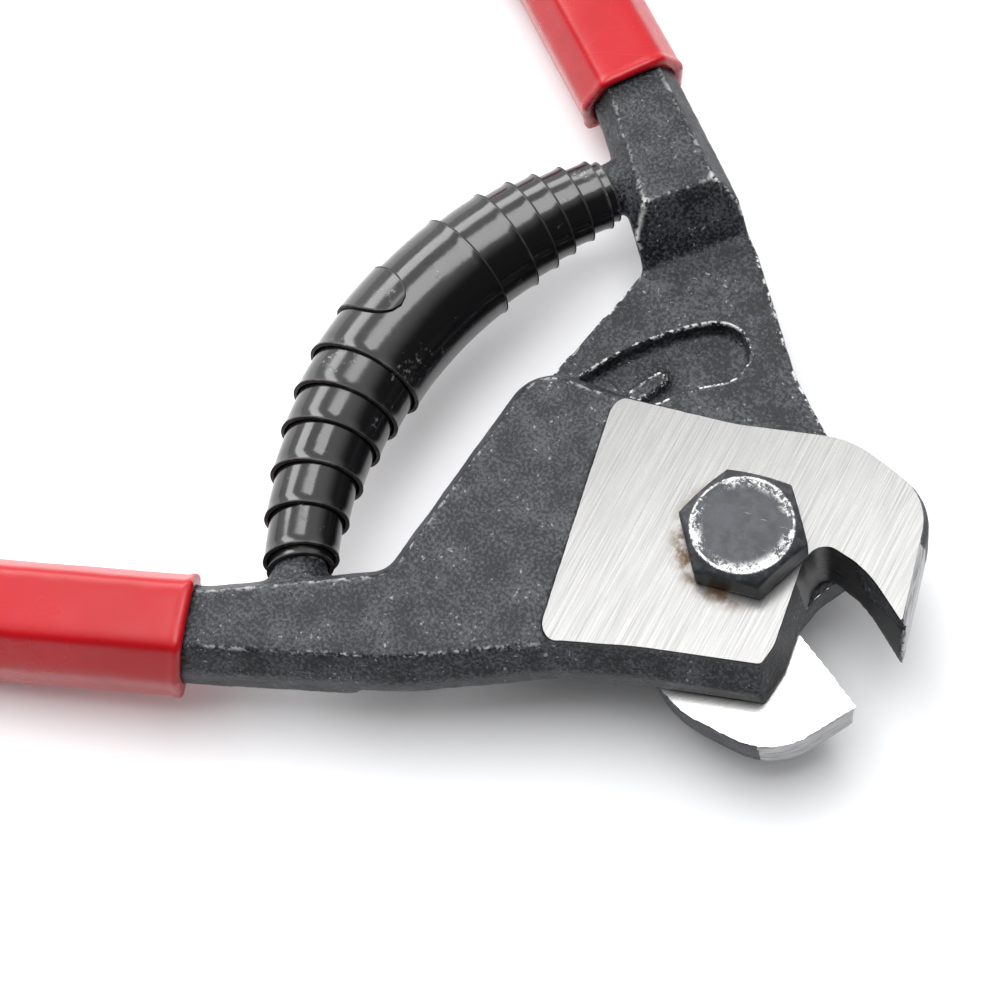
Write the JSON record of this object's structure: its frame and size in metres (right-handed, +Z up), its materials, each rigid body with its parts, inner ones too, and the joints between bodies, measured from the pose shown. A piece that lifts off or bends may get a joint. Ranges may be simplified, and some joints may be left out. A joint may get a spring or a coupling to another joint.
{
  "type": "hooked cable cutter",
  "caption": "Hand cable cutter with hooked shear jaws, a hex pivot bolt, a double volute return spring and dipped grips.",
  "frame": {"origin": "centre of the pivot bolt's lower end face", "axes": "+Z up along the pivot bolt towards its hex head, +X from the pivot to the jaws along the line halfway between the open handles, +Y towards the rear lever's handle"},
  "size_m": [0.1721, 0.172, 0.0289],
  "materials": {
    "forged_steel": "forged scale, ground bright on the jaws and pad",
    "grip_vinyl": "glossy dipped vinyl",
    "black_oxide": "black oxide with worn edges",
    "nylon": "natural nylon",
    "spring_steel": "oiled black spring strip"
  },
  "bodies": {
    "rear_side": {"rear_lever": "forged_steel", "rear_grip": "grip_vinyl", "pivot_bolt": "black_oxide", "pivot_nut": "black_oxide", "locking_ring": "nylon", "volute_spring": "spring_steel"},
    "front_side": {"front_lever": "forged_steel", "front_grip": "grip_vinyl"}
  },
  "joints": [
    {"name": "pivot", "type": "hinge", "parent": "rear_side", "child": "front_side", "pos_m": [0, 0, 0.0152], "axis": [0, 0, -1], "range_deg": [0, 42], "stiffness_Nm_per_rad": 1.5, "springref_deg": -17.19, "deforming": ["volute_spring"]}
  ]
}
